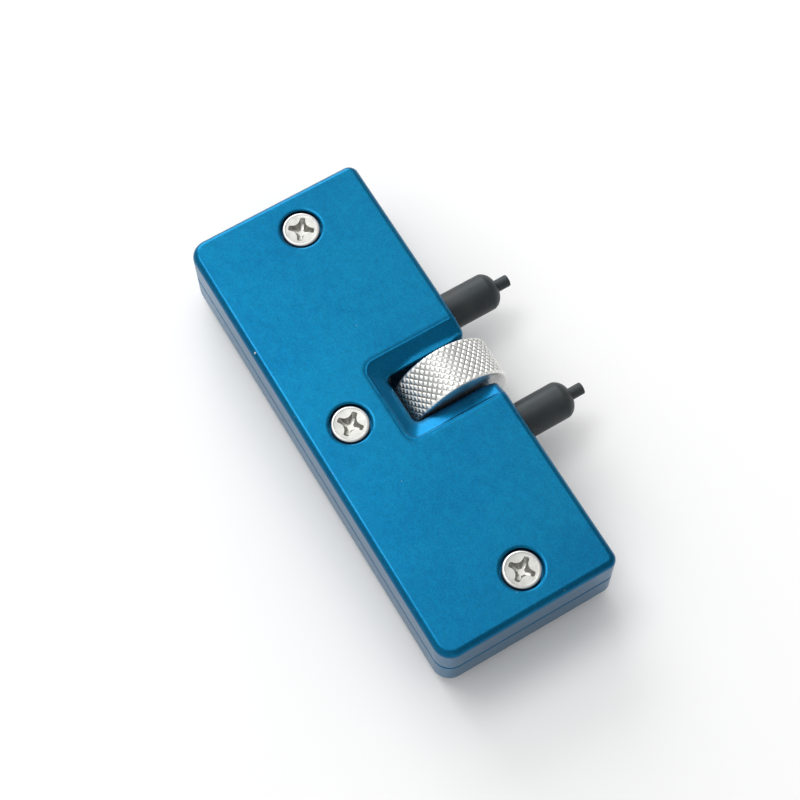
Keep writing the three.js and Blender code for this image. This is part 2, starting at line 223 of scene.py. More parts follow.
def new_object(name, points, faces):
    """An object from points in millimetres, with its faces turned outwards."""
    mesh = bpy.data.meshes.new(name)
    mesh.from_pydata(np.asarray(points, float).tolist(), [], faces)
    piece = bpy.data.objects.new(name, mesh)
    bpy.context.scene.collection.objects.link(piece)
    body = bmesh.new()
    body.from_mesh(mesh)
    bmesh.ops.recalc_face_normals(body, faces=body.faces)
    body.to_mesh(mesh)
    body.free()
    return piece


def turned(profile, steps, axis="Z", at=(0, 0, 0)):
    """Points and faces of a turned shape. Its profile is pairs of radius and height."""
    angles = np.linspace(0, 2 * math.pi, steps, endpoint=False)
    points, rows = [], []
    for radius, height in profile:
        first = len(points)
        if radius < 1e-9:
            points.append((0, 0, height))
            rows.append([first] * steps)
        else:
            points += [(radius * math.cos(a), radius * math.sin(a), height) for a in angles]
            rows.append(list(range(first, first + steps)))
    faces = []
    for low, high in zip(rows, rows[1:]):
        for i in range(steps):
            j = (i + 1) % steps
            face = dict.fromkeys((low[i], low[j], high[j], high[i]))
            if len(face) > 2:
                faces.append(tuple(face))
    return np.array(points)[:, TURNS[axis]] + np.array(at), faces


def rod(radius, low, high, axis="Z", at=(0, 0, 0), steps=40):
    """Points and faces of a plain rod."""
    return turned([(0, low), (radius, low), (radius, high), (0, high)], steps, axis, at)


def lofted(rings):
    """Points and faces of a closed shape through rings that have the same number of points."""
    n = len(rings[0])
    faces = [tuple(range(n)), tuple(range((len(rings) - 1) * n, len(rings) * n))]
    for k in range(len(rings) - 1):
        for i in range(n):
            j = (i + 1) % n
            faces.append((k * n + i, k * n + j, (k + 1) * n + j, (k + 1) * n + i))
    return np.concatenate(rings), faces


def block(lo, hi):
    """Points and faces of a box between two corners."""
    (x0, y0, z0), (x1, y1, z1) = lo, hi
    square = np.array([(x0, y0), (x1, y0), (x1, y1), (x0, y1)], float)
    return lofted([np.column_stack([square, np.full(4, z)]) for z in (z0, z1)])


def keep_result(piece):
    """Puts what the modifiers make in place of the piece's mesh."""
    shown = piece.evaluated_get(bpy.context.evaluated_depsgraph_get())
    made = bpy.data.meshes.new_from_object(shown)
    old = piece.data
    piece.modifiers.clear()
    piece.data = made
    bpy.data.meshes.remove(old)
    return piece


def carve(piece, shapes):
    """Cuts each shape, given as its points and faces, out of the piece."""
    tools = [new_object("tool", *shape) for shape in shapes]
    for tool in tools:
        cut = piece.modifiers.new("cut", "BOOLEAN")
        cut.operation = "DIFFERENCE"
        cut.solver = "MANIFOLD"
        cut.object = tool
    keep_result(piece)
    for tool in tools:
        bpy.data.objects.remove(tool)
    if not piece.data.polygons:
        raise RuntimeError(f"cutting left nothing of {piece.name}")
    return piece


def read(items, name, kind=float, width=1):
    """One property of all the points, corners or faces of a mesh."""
    values = np.empty(len(items) * width, kind)
    items.foreach_get(name, values)
    return values.reshape(-1, width) if width > 1 else values


def store(mesh, name, values):
    """Keeps one number for each point of a mesh, for its material or its tree."""
    mark = mesh.attributes.new(name, "FLOAT", "POINT")
    mark.data.foreach_set("value", np.asarray(values, np.float32))


def corner_normals(mesh, split):
    """A normal for each face corner, from its neighbours within the split angle, by area."""
    corner_vertex = read(mesh.loops, "vertex_index", int)
    totals = read(mesh.polygons, "loop_total", int)
    normals = read(mesh.polygons, "normal", width=3)
    areas = read(mesh.polygons, "area")
    corner_face = np.repeat(np.arange(len(totals)), totals)
    order = np.argsort(corner_vertex, kind="stable")
    _, starts, valences = np.unique(corner_vertex[order], return_index=True, return_counts=True)
    result = np.empty((len(corner_vertex), 3))
    for valence in np.unique(valences):
        picks = order[starts[valences == valence][:, None] + np.arange(valence)]
        near = normals[corner_face[picks]]
        alike = np.einsum("vik,vjk->vij", near, near) > math.cos(split)
        result[picks] = np.einsum("vij,vj,vjk->vik", alike, areas[corner_face[picks]], near)
    result /= np.maximum(np.linalg.norm(result, axis=1, keepdims=True), 1e-12)
    return result, corner_vertex, corner_face, normals


def shade(piece, degrees, surface=None):
    """Smooth shading with crisp edges. A surface gives the normals of the points on it."""
    mesh = piece.data
    mesh.polygons.foreach_set("use_smooth", [True] * len(mesh.polygons))
    normals, corner_vertex, corner_face, face_normals = corner_normals(mesh, math.radians(degrees))
    if surface:
        on_it, true_normals = surface(read(mesh.vertices, "co", width=3))
        corners_on = on_it[corner_vertex]
        off_faces = np.unique(corner_face[~corners_on])
        whole = ~np.isin(corner_face, off_faces)
        exact = true_normals[corner_vertex]
        facing = np.einsum("ij,ij->i", exact, face_normals[corner_face]) > 0.5
        use = whole & facing
        normals[use] = exact[use]
    mesh.normals_split_custom_set(normals.tolist())
    return piece


def finish_piece(piece, body, material, nodes):
    """Brings a piece from millimetres to metres and puts it in place of its CAD nodes."""
    piece.data.transform(Matrix.Scale(MM, 4))
    piece.data.materials.clear()
    piece.data.materials.append(material)
    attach(piece, body)
    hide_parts(*nodes)
    return piece


# ---- Nodes ----


class Value:
    """A node's output that takes part in sums and products."""

    def __init__(self, nodes, socket):
        self.nodes = nodes
        self.socket = socket

    def math(self, operation, *others):
        sockets = dict(enumerate((self, *others)))
        return self.nodes.add("ShaderNodeMath", {"operation": operation}, sockets)

    def __add__(self, other):
        return self.math("ADD", other)

    def __mul__(self, other):
        return self.math("MULTIPLY", other)

    def __sub__(self, other):
        return self.math("SUBTRACT", other)

    def __truediv__(self, other):
        return self.math("DIVIDE", other)

    def __rsub__(self, other):
        return self.nodes.add("ShaderNodeMath", {"operation": "SUBTRACT"}, {0: other, 1: self})

    __radd__ = __add__
    __rmul__ = __mul__

    def low(self, other):
        return self.math("MINIMUM", other)

    def high(self, other):
        return self.math("MAXIMUM", other)

    def clamp(self):
        return self.low(1.0).high(0.0)

    def over(self, start, end):
        """0 below start, 1 above end and a smooth rise between them."""
        settings = {"interpolation_type": "SMOOTHSTEP"}
        sockets = {"Value": self, "From Min": start, "From Max": end}
        return self.nodes.add("ShaderNodeMapRange", settings, sockets)


class Nodes:
    """Adds nodes to one tree."""

    def __init__(self, tree):
        self.tree = tree

    def add(self, kind, settings=None, sockets=None, out=0):
        """A node of a kind, with its settings, then the values or links of its sockets."""
        node = self.tree.nodes.new(kind)
        for key, value in (settings or {}).items():
            setattr(node, key, value)
        for key, value in (sockets or {}).items():
            if isinstance(value, Value):
                self.tree.links.new(value.socket, node.inputs[key])
            else:
                node.inputs[key].default_value = value
        return Value(self, node.outputs[out]) if len(node.outputs) else node

    def attribute(self, name):
        """A number that was stored on the piece's points."""
        return self.add("ShaderNodeAttribute", {"attribute_name": name}, out="Fac")

    def noise(self, vector, scale, detail=2.0, roughness=0.5):
        sockets = {"Vector": vector, "Scale": scale, "Detail": detail, "Roughness": roughness}
        return self.add("ShaderNodeTexNoise", {}, sockets)

    def cells(self, vector, scale, out="Distance"):
        return self.add("ShaderNodeTexVoronoi", {}, {"Vector": vector, "Scale": scale}, out)

    def mix(self, factor, first, second):
        """Two colours; 6, 7 and 2 are the places of the node's colour sockets."""
        sockets = {"Factor": factor, 6: first, 7: second}
        return self.add("ShaderNodeMix", {"data_type": "RGBA"}, sockets, 2)

    def bump(self, height, strength, distance, normal=None):
        sockets = {"Height": height, "Strength": strength, "Distance": distance}
        if normal:
            sockets["Normal"] = normal
        return self.add("ShaderNodeBump", {}, sockets)


def opaque(rgb):
    return (*rgb, 1)


def material(name, paint):
    """A material whose shader sockets come from paint, which is given the nodes and the place."""
    made = bpy.data.materials.new(name)
    made.use_nodes = True
    made.node_tree.nodes.clear()
    nodes = Nodes(made.node_tree)
    spot = nodes.add("ShaderNodeTexCoord", out="Object")
    shader = nodes.add("ShaderNodeBsdfPrincipled", {}, paint(nodes, spot))
    nodes.add("ShaderNodeOutputMaterial", {}, {"Surface": shader})
    return made


def blue_paint(case):
    """Metallic paint with fine flakes, a faint orange peel and worn spots along its edges."""

    def paint(nodes, spot):
        cloud = nodes.noise(spot, 55, 3)
        mottle = nodes.noise(spot, 700, 4, 0.6)
        flake = nodes.cells(spot, 7000, "Color")
        flake = nodes.add("ShaderNodeSeparateColor", {}, {"Color": flake}, "Red")
        patches = (cloud * 0.6 + mottle * 0.4).over(0.35, 0.65)
        deep = nodes.mix(patches, opaque(case.paint), opaque(case.deep_paint))
        thick = nodes.attribute("thick")
        deep = nodes.mix(thick * 0.4, deep, opaque(case.thick_paint))
        sockets = {"Color": deep, "Value": flake * 0.3 + 0.85}
        lit = nodes.add("ShaderNodeHueSaturation", {}, sockets)
        edge = nodes.attribute("edge")
        chips = nodes.noise(spot, 1500, 3, 0.7)
        worn = (edge * 0.1 + chips).over(0.79, 0.83)
        specks = 1 - nodes.cells(spot, 420).over(0.03, 0.05)
        sparse = nodes.noise(spot, 160).over(0.66, 0.68)
        bare = worn.high(specks * sparse * 0.4)
        scuff = nodes.noise(spot, 260, 6, 0.65)
        peel = nodes.noise(spot, 1300, 2)
        normal = nodes.bump(peel, 0.12, 0.00005)
        normal = nodes.bump(flake, 0.08, 0.00001, normal)
        normal = nodes.bump(1 - bare, 0.4, 0.00003, normal)
        return {
            "Base Color": nodes.mix(bare, lit, opaque(case.bare)),
            "Metallic": 1.0,
            "Roughness": scuff * 0.1 + 0.24 + flake * 0.06,
            "Coat Weight": 0.1,
            "Coat Roughness": 0.06,
            "Normal": normal,
        }

    return material("blue metallic paint", paint)


def bright_metal(name, tone, dark, rough=0.32, grain=900, groove=None):
    """Bare metal with fine tool marks, a little tarnish and handling marks, and painted shade in
    its grooves when it is given a groove attribute.
    """

    def paint(nodes, spot):
        stretch = nodes.add("ShaderNodeMapping", {}, {"Vector": spot, "Scale": (6, 1, 1)})
        marks = nodes.noise(stretch, grain, 5, 0.7)
        tarnish = nodes.noise(spot, 240, 4, 0.6)
        spots = nodes.noise(spot, 1700, 3, 0.7).over(0.6, 0.75)
        tarnish_and_groove_shade = tarnish.over(0.5, 0.72) * 0.35 + spots * 0.25
        # Painted shade: points away from a crest are darkened towards the dark colour, 85% at the
        # bottom of a groove
        if groove:
            crest = nodes.attribute(groove)
            tarnish_and_groove_shade = tarnish_and_groove_shade.high((1 - crest) * 0.85)
        normal = nodes.bump(marks, 0.15, 0.00002)
        normal = nodes.bump(tarnish, 0.1, 0.00003, normal)
        return {
            "Base Color": nodes.mix(tarnish_and_groove_shade.clamp(), opaque(tone), opaque(dark)),
            "Metallic": 1.0,
            "Roughness": marks * 0.16 + rough - 0.08 + spots * 0.1,
            "Normal": normal,
        }

    return material(name, paint)


def satin_nickel(screws):
    """Satin nickel, with a painted highlight on the rim of a head and a painted tone for the light
    and shade in its recess.
    """

    def paint(nodes, spot):
        tone = nodes.attribute("tone")
        marks = nodes.noise(spot, 2600, 5, 0.7)
        patch = nodes.noise(spot, 900, 3, 0.6)
        tired = opaque([c * 0.72 for c in screws.metal])
        face = nodes.mix(patch.over(0.38, 0.66) * 0.6, opaque(screws.metal), tired)
        # Painted shading in the recess: deeper in it the colour goes to the recess tone
        face = nodes.mix((tone * 2).clamp(), opaque(screws.recess_shading), face)
        # Painted highlight: the rim of the head goes to the rim colour
        face = nodes.mix((tone + patch * 0.2).over(0.72, 0.95), face, opaque(screws.rim))
        normal = nodes.bump(marks, 0.25, 0.00002)
        normal = nodes.bump(patch, 0.2, 0.00005, normal)
        return {
            "Base Color": face,
            "Metallic": 1.0,
            "Roughness": marks * 0.14 + 0.3,
            "Normal": normal,
        }

    return material("satin nickel", paint)


def black_oxide(pins):
    """Black oxide on turned steel, thin along its edges."""

    def paint(nodes, spot):
        rings = nodes.add("ShaderNodeMapping", {}, {"Vector": spot, "Scale": (1, 9, 1)})
        marks = nodes.noise(rings, 700, 4, 0.6)
        bloom = nodes.noise(spot, 330, 4, 0.6)
        rub = nodes.attribute("edge")
        thin = (rub * 0.16 + nodes.noise(spot, 2300, 3, 0.7) * 0.75).over(0.64, 0.82)
        warm = nodes.mix(bloom.over(0.35, 0.7), opaque(pins.metal), (0.04, 0.046, 0.047, 1))
        normal = nodes.bump(marks, 0.2, 0.00002)
        normal = nodes.bump(nodes.noise(spot, 5200, 2), 0.12, 0.00001, normal)
        return {
            "Base Color": nodes.mix(thin * 0.4, warm, (0.15, 0.15, 0.15, 1)),
            "Metallic": 0.55,
            "Roughness": bloom * 0.2 + 0.36,
            "Normal": normal,
        }

    return material("black oxide", paint)


# ---- The case ----


def run(start, end, step):
    """Points from start up to end, which isn't included, and the inward normal."""
    start, end = np.array(start, float), np.array(end, float)
    across = end - start
    n = max(1, math.ceil(np.linalg.norm(across) / step))
    unit = across / np.linalg.norm(across)
    points = start + across * (np.arange(n) / n)[:, None]
    return points, np.tile((-unit[1], unit[0]), (n, 1))


def arc(middle, radius, start, end, n):
    """Points along an arc between two angles in degrees, and the inward normal."""
    angles = np.radians(start + (end - start) * np.arange(n) / n)
    out = np.column_stack([np.cos(angles), np.sin(angles)])
    return np.array(middle) + radius * out, out * (-1 if end > start else 1)


COARSE_STEP, FINE_STEP = 2.0, 0.24  # between the points of the outline and of the window's border
SURFACE_REACH = 0.004  # a point this near to the face lies on it
BEAD_LEVEL = 0.86  # where the bead runs, from 0 on the inner lip to 1 on the border's outer line
BEAD_SPREAD = 0.05
BEAD_OFFSETS = (-0.15, -0.11, -0.075, -0.05, -0.025, 0, 0.025, 0.05, 0.075, 0.11, 0.15)


class Plan:
    """The outline of a shell seen from above, around the middle of the case, and its surface."""

    def __init__(self, case):
        size = sizes(case)
        self.size = size
        self.half_x, self.half_y, self.top = CASE_HALF
        self.back = self.half_y - size["window_back"]
        self.outline, self.inward = self.make_outline()

    def make_outline(self):
        size, x, y = self.size, self.half_x, self.half_y
        jaw, rear = size["jaw_corner"], size["rear_corner"]
        side, notch, mouth = size["window_half"], size["window_corner"], size["mouth_corner"]
        long, fine = COARSE_STEP, FINE_STEP
        near = 9.5  # the jaw edge is finely divided up to here, where the border has faded
        back = self.back
        pieces = [
            run((rear - x, -y), (x - rear, -y), long),
            arc((x - rear, rear - y), rear, -90, 0, 12),
            run((x, rear - y), (x, y - jaw), long),
            arc((x - jaw, y - jaw), jaw, 0, 90, 12),
            run((x - jaw, y), (near, y), long),
            run((near, y), (side + mouth, y), fine),
            arc((side + mouth, y - mouth), mouth, 90, 180, 8),
            run((side, y - mouth), (side, back + notch), fine),
            arc((side - notch, back + notch), notch, 0, -90, 7),
            run((side - notch, back), (notch - side, back), fine),
            arc((notch - side, back + notch), notch, -90, -180, 7),
            run((-side, back + notch), (-side, y - mouth), fine),
            arc((-side - mouth, y - mouth), mouth, 0, 90, 8),
            run((-side - mouth, y), (-near, y), fine),
            run((-near, y), (jaw - x, y), long),
            arc((jaw - x, y - jaw), jaw, 90, 180, 12),
            run((-x, y - jaw), (-x, rear - y), long),
            arc((rear - x, rear - y), rear, 180, 270, 12),
        ]
        return np.concatenate([p for p, _ in pieces]), np.concatenate([n for _, n in pieces])

    def wall_distance(self, points):
        """How far each point lies from the outline."""
        start = self.outline
        along = np.roll(start, -1, axis=0) - start
        squares = (along ** 2).sum(1)
        nearest = np.full(len(points), np.inf)
        for k in range(0, len(points), 2000):
            gap = points[k:k + 2000, None] - start[None]
            share = np.clip((gap * along).sum(2) / squares, 0, 1)
            far = np.linalg.norm(gap - share[..., None] * along, axis=2).min(1)
            nearest[k:k + 2000] = far
        return nearest

    def edge_radius(self, points):
        """Rounding of the nearest edge: small around the window, wide around the case."""
        size = self.size
        side = size["window_half"]
        ahead = smooth_step(points[:, 1], self.half_y - 2.4, self.half_y - 0.7)
        beside = smooth_step(np.abs(points[:, 0]), side + 1, side + 4)
        behind = smooth_step(-points[:, 1], -self.back + 1, -self.back + 4)
        wide = np.maximum.reduce([ahead, beside, behind])
        return size["lip_edge"] + (size["edge"] - size["lip_edge"]) * wide

    def level_shape(self, level):
        """Corner radius, half width and back of the border at one level."""
        size = self.size
        corner = size["window_corner"] + (size["border_corner"] - size["window_corner"]) * level
        side = size["window_half"] + size["border_side"] * level
        return corner, side, self.back - size["border_back"] * level

    def border_level(self, points):
        """0 on the inner lip of the window, 1 on the outer line of its border."""
        across, ahead = np.abs(points[:, 0]), points[:, 1]
        low, high = np.full(len(points), -0.5), np.full(len(points), 2.5)
        for _ in range(32):
            level = (low + high) / 2
            radius, side, back = self.level_shape(level)
            dx, dy = across - (side - radius), (back + radius) - ahead
            outside = np.hypot(np.maximum(dx, 0), np.maximum(dy, 0))
            outside += np.minimum(np.maximum(dx, dy), 0)
            beyond = outside > radius
            low, high = np.where(beyond, level, low), np.where(beyond, high, level)
        return level

    def level_line(self, level, step):
        """Points along one level of the border, from the jaw edge around the window and back."""
        radius, side, back = self.level_shape(level)
        front = self.half_y - 1.3
        pieces = [
            run((side, front), (side, back + radius), step),
            arc((side - radius, back + radius), radius, 0, -90, 8),
            run((side - radius, back), (radius - side, back), step),
            arc((radius - side, back + radius), radius, -90, -180, 8),
            run((-side, back + radius), (-side, front), step),
        ]
        return np.concatenate([points for points, _ in pieces])

    def drop(self, points):
        """How far the face lies below the top of the case."""
        size = self.size
        level = self.border_level(points)
        kink = size["border_kink"] / size["border_side"]
        steep = size["border_drop"] + (size["border_shelf"] - size["border_drop"]) * level / kink
        gentle = size["border_shelf"] * (1 - level) / (1 - kink)
        border = smooth_high(smooth_high(steep, gentle, 0.16), 0, 0.13)
        border -= size["bead_height"] * np.exp(-(((level - BEAD_LEVEL) / BEAD_SPREAD) ** 2))
        radius = self.edge_radius(points)
        inset = np.clip(radius - self.wall_distance(points), 0, radius)
        return border + radius - np.sqrt(np.maximum(radius ** 2 - inset ** 2, 0))

    def inner_points(self):
        """Points that carry the shape of the top face inside its outline."""
        radius = self.edge_radius(self.outline)
        steps = 1 - np.cos(np.radians([15, 30, 45, 60, 75, 90]))
        rings = [self.outline + self.inward * (radius * step)[:, None] for step in steps]
        rings = [
            ring[self.wall_distance(ring) > 0.93 * radius * step]
            for ring, step in zip(rings, steps)
        ]
        step = FINE_STEP
        xs = np.arange(-8.4, 8.41, step)
        ys = np.arange(self.back - 4, self.half_y, step)
        mesh = np.stack(np.meshgrid(xs, ys), -1).reshape(-1, 2)
        mesh[:, 0] += np.tile(np.arange(len(ys)) % 2 * step / 2, (len(xs), 1)).T.ravel()
        level = self.border_level(mesh)
        beaded = (np.abs(level - BEAD_LEVEL) < 0.19) & (mesh[:, 1] < self.half_y - 1.35)
        mesh = mesh[(level > 0) & (level < 1.36) & ~beaded]
        lines = [self.level_line(BEAD_LEVEL + offset, 0.3) for offset in BEAD_OFFSETS]
        mesh = np.concatenate([mesh] + lines)
        mesh = mesh[self.wall_distance(mesh) > 1.12 * self.edge_radius(mesh)]
        return np.concatenate(rings + [mesh])

    def surface(self, side):
        """For points in 3D, whether they lie on the face of one side, and the normals there."""

        def measure(points):
            flat = points[:, :2]
            h = SURFACE_REACH
            on_it = np.abs(side * points[:, 2] - (self.top - self.drop(flat))) < h
            slope = [
                (self.drop(flat + step) - self.drop(flat - step)) / (2 * h)
                for step in (np.array([h, 0]), np.array([0, h]))
            ]
            normals = np.column_stack([slope[0], slope[1], np.full(len(flat), float(side))])
            return on_it, normals / np.linalg.norm(normals, axis=1, keepdims=True)

        return measure


def smooth_step(value, start, end):
    share = np.clip((value - start) / (end - start), 0, 1)
    return share * share * (3 - 2 * share)


def smooth_high(first, second, width):
    """The higher of two values, with the change between them rounded off."""
    near = np.maximum(width - np.abs(first - second), 0) / width
    return np.maximum(first, second) + near * near * width / 4


def triangulate(outline, inner):
    """Points and triangles over an outline and what is inside it, and the outline's places."""
    flat = np.concatenate([outline, inner]) if len(inner) else outline
    n = len(outline)
    edges = [(i, (i + 1) % n) for i in range(n)]
    found = delaunay_2d_cdt([Vector(p) for p in flat.tolist()], edges, [], 1, 1e-5)
    where = {}
    for new, olds in enumerate(found[3]):
        for old in olds:
            where[old] = new
    points, faces = [tuple(p) for p in found[0]], [tuple(f) for f in found[2]]
    return np.array(points), faces, [where[i] for i in range(n)]


def shell_skin(plan, side):
    """The outer skin of one shell, closed by a flat face along the parting plane."""
    flat, faces, rim = triangulate(plan.outline, plan.inner_points())
    height = plan.top - plan.drop(flat)
    points = [np.column_stack([flat, height])]
    edge = plan.size["parting_edge"]
    last = rim
    total = len(flat)
    for angle in (0, 30, 60, 90):
        inset = edge * (1 - math.cos(math.radians(angle)))
        z = PARTING_HALF + edge * (1 - math.sin(math.radians(angle)))
        ring = plan.outline + plan.inward * inset
        points.append(np.column_stack([ring, np.full(len(ring), z)]))
        here = list(range(total, total + len(ring)))
        total += len(ring)
        for i in range(len(here)):
            j = (i + 1) % len(here)
            faces.append((last[i], here[i], here[j], last[j]))
        last = here
    _, floor, order = triangulate(plan.outline + plan.inward * edge, np.empty((0, 2)))
    back = {new: last[i] for i, new in enumerate(order)}
    faces += [tuple(back[v] for v in reversed(face)) for face in floor]
    points = np.concatenate(points)
    points[:, 2] *= side
    return points, faces


# Hollows inside the case, the same as in the CAD model, around the middle of the case
CHANNEL_START, CHANNEL_END = 5.3, 32.0
CHANNEL_REAR, CHANNEL_FRONT = 4.85, 12.35
CHANNEL_HALF = 3.85
AXIS_Y = (CHANNEL_REAR + CHANNEL_FRONT) / 2
THREAD_HOLE = 2.05
SLOT_START, SLOT_END, SLOT_RADIUS = 9.35, 23.85, 3.1
SLOT_RIM = 0.4
POCKETS = ((8.35, 5.2), (15.35, 5.2), (22.35, 5.2))
POCKET_REAR, POCKET_FRONT = -11.55, 2.85
DOWEL = (28.5, -8.5)
DOWEL_HOLE, DOWEL_HALF = 1.55, 3.3
SCREW_SEAT, SHANK_HOLE = 3.65, 1.8
INSERT_HOLE, INSERT_FLOOR = 2.6, -4.6


def slot_shape(plan, side):
    """An oblong hole through the jaw wall, with a rounded rim on the outside."""
    ring = []
    for k in range(40):
        angle = math.radians(9 * k + 4.5)
        end = SLOT_END if math.cos(angle) > 0 else SLOT_START
        ring.append((side * end, math.cos(angle), math.sin(angle)))
    ring = np.array(ring)
    face = plan.half_y
    levels = [(face + 1, SLOT_RIM * 1.05), (face + 0.004, SLOT_RIM)]
    for angle in (70, 50, 30, 15, 0):
        turn = math.radians(angle)
        levels.append((face - SLOT_RIM * (1 - math.sin(turn)), SLOT_RIM * (1 - math.cos(turn))))
    levels.append((CHANNEL_FRONT - 0.5, 0))
    rings = []
    for y, grow in levels:
        radius = SLOT_RADIUS + grow
        x = ring[:, 0] + side * ring[:, 1] * radius
        rings.append(np.column_stack([x, np.full(len(ring), y), ring[:, 2] * radius]))
    return lofted(rings)


def screw_hole(plan, spot, size):
    """Clearance hole and counterbore, with a rounded edge at the top face."""
    bore, rim, top = size["screw_bore"], size["screw_rim"], plan.top
    rim_depth = size["screw_rim_depth"]
    profile = [(0, -1), (SHANK_HOLE, -1), (SHANK_HOLE, SCREW_SEAT), (bore, SCREW_SEAT)]
    for angle in (0, 15, 30, 45, 60, 75, 86):
        turn = math.radians(angle)
        profile.append((bore + rim * (1 - math.cos(turn)), top - rim_depth * (1 - math.sin(turn))))
    profile += [(bore + rim, top + 0.004), (bore + rim, top + 1), (0, top + 1)]
    return turned(profile, 72, "Z", (spot[0], spot[1], 0))


def hollows(plan):
    """Shapes cut from both shells."""
    shapes = []
    for side in (-1, 1):
        xs = sorted((side * CHANNEL_START, side * CHANNEL_END))
        low, high = (xs[0], CHANNEL_REAR, -CHANNEL_HALF), (xs[1], CHANNEL_FRONT, CHANNEL_HALF)
        shapes.append(block(low, high))
        shapes.append(slot_shape(plan, side))
        for x, width in POCKETS:
            ends = sorted((side * (x - width / 2), side * (x + width / 2)))
            low = (ends[0], POCKET_REAR, -CHANNEL_HALF)
            high = (ends[1], POCKET_FRONT, CHANNEL_HALF)
            shapes.append(block(low, high))
        spot = (side * DOWEL[0], DOWEL[1], 0)
        shapes.append(rod(DOWEL_HOLE, -DOWEL_HALF, DOWEL_HALF, "Z", spot, 32))
    reach = CHANNEL_START + 0.5
    shapes.append(rod(THREAD_HOLE, -reach, reach, "X", (0, AXIS_Y, 0)))
    return shapes


def mark_edges(piece, plan, size, spots):
    """Stores how exposed each point of a shell is, and where its paint is thick."""
    points = read(piece.data.vertices, "co", width=3)
    flat = points[:, :2]
    radius, drop, inset = plan.edge_radius(flat), plan.drop(flat), plan.wall_distance(flat)
    depth = plan.top - np.abs(points[:, 2]) - (drop > 1.3) * 1.2
    share = np.clip(1 - inset / radius, 0, 1)
    exposed = 4 * share * (1 - share) * (depth < radius)
    for x, y in spots:
        away = np.hypot(points[:, 0] - x, points[:, 1] - y) - size["screw_bore"]
        share = np.clip(away / size["screw_rim"], 0, 1)
        exposed = np.maximum(exposed, 4 * share * (1 - share) * (depth < size["screw_rim"]))
    thick = np.clip(drop / 0.25, 0, 1) * (inset > 0.3) * (plan.border_level(flat) < 1)
    store(piece.data, "edge", exposed)
    store(piece.data, "thick", thick)


class OPENER_OT_case(bpy.types.Operator):
    """Both shells of the case, with the wheel's window, the pin slots and the screw holes"""

    bl_idname = "opener.case"
    bl_label = "Build Case"

    def execute(self, context):
        case = context.scene.opener_case
        size = sizes(case)
        plan = Plan(case)
        spots = [(centre(node) - CASE_MIDDLE)[:2] for node in CASE_SCREWS]
        paint = blue_paint(case)
        for name, side in (("upper_shell", 1), ("lower_shell", -1)):
            piece = new_object(name + "_painted", *shell_skin(plan, side))
            shapes = hollows(plan)
            if side > 0:
                shapes += [screw_hole(plan, spot, size) for spot in spots]
            else:
                shapes += [rod(INSERT_HOLE, INSERT_FLOOR, 1, "Z", (x, y, 0)) for x, y in spots]
            carve(piece, shapes)
            mark_edges(piece, plan, size, spots if side > 0 else [])
            shade(piece, 28, plan.surface(side))
            piece.data.transform(Matrix.Translation(CASE_MIDDLE))
            finish_piece(piece, "case", paint, [name])
        return {"FINISHED"}


# ---- Trees that make knurls and threads ----


def tree_socket(tree, label, kind, in_out="INPUT"):
    """A named input or output of a geometry tree."""
    return tree.interface.new_socket(label, in_out=in_out, socket_type="NodeSocket" + kind)


class Band:
    """A geometry tree that adds a band around the X axis to the mesh that it is given."""

    def __init__(self, name, inputs):
        tree = bpy.data.node_groups.new(name, "GeometryNodeTree")
        tree_socket(tree, "Geometry", "Geometry")
        self.keys = {}
        for label, value in inputs.items():
            socket = tree_socket(tree, label, "Int" if isinstance(value, int) else "Float")
            socket.default_value = value
            self.keys[label] = socket.identifier
        self.keys["Material"] = tree_socket(tree, "Material", "Material").identifier
        tree_socket(tree, "Geometry", "Geometry", "OUTPUT")
        self.tree = tree
        self.nodes = Nodes(tree)
        self.source = tree.nodes.new("NodeGroupInput")

    def given(self, label):
        return Value(self.nodes, self.source.outputs[label])

    def wrap(self, around, along, radius_of, start, end):
        """Rolls a grid into the band; radius_of gives the radius and how near it is to a crest."""
        nodes = self.nodes
        sockets = {"Size X": 1.0, "Size Y": 1.0, "Vertices X": around + 1, "Vertices Y": along + 1}
        grid = nodes.add("GeometryNodeMeshGrid", {}, sockets, "Mesh")
        position = nodes.add("GeometryNodeInputPosition")
        share = nodes.add("ShaderNodeSeparateXYZ", {}, {"Vector": position}, "X")
        height = nodes.add("ShaderNodeSeparateXYZ", {}, {"Vector": position}, "Y")
        x = start + (height + 0.5) * (end - start)
        radius, level = radius_of(share, height, x)
        angle = share * (2 * math.pi)
        sockets = {"X": x, "Y": radius * angle.math("COSINE"), "Z": radius * angle.math("SINE")}
        spot = nodes.add("ShaderNodeCombineXYZ", {}, sockets)
        sockets = {"Geometry": grid, "Name": "crest", "Value": level}
        marked = nodes.add("GeometryNodeStoreNamedAttribute", {"data_type": "FLOAT"}, sockets)
        rolled = nodes.add("GeometryNodeSetPosition", {}, {"Geometry": marked, "Position": spot})
        joined = self.tree.nodes.new("GeometryNodeJoinGeometry")
        for part in (Value(nodes, self.source.outputs["Geometry"]), rolled):
            self.tree.links.new(part.socket, joined.inputs[0])
        sockets = {"Geometry": Value(nodes, joined.outputs[0]), "Distance": 0.002}
        whole = nodes.add("GeometryNodeMergeByDistance", {}, sockets)
        real = nodes.add("GeometryNodeRealizeInstances", {}, {"Geometry": whole})
        sockets = {"Geometry": real, "Material": self.given("Material")}
        finished = nodes.add("GeometryNodeSetMaterial", {}, sockets)
        nodes.add("NodeGroupOutput", {}, {"Geometry": finished})
        return self

    def put_on(self, piece, values):
        modifier = piece.modifiers.new(self.tree.name, "NODES")
        modifier.node_group = self.tree
        for label, value in values.items():
            modifier[self.keys[label]] = value


HALF_TURN = np.array([1, -1, -1])  # a band's grid starts half a turn away from a turned shape
KNURL_STEPS = 8  # faces across one diamond
KNURL_GROOVE = 0.2  # half the width of a groove, as a share of a diamond


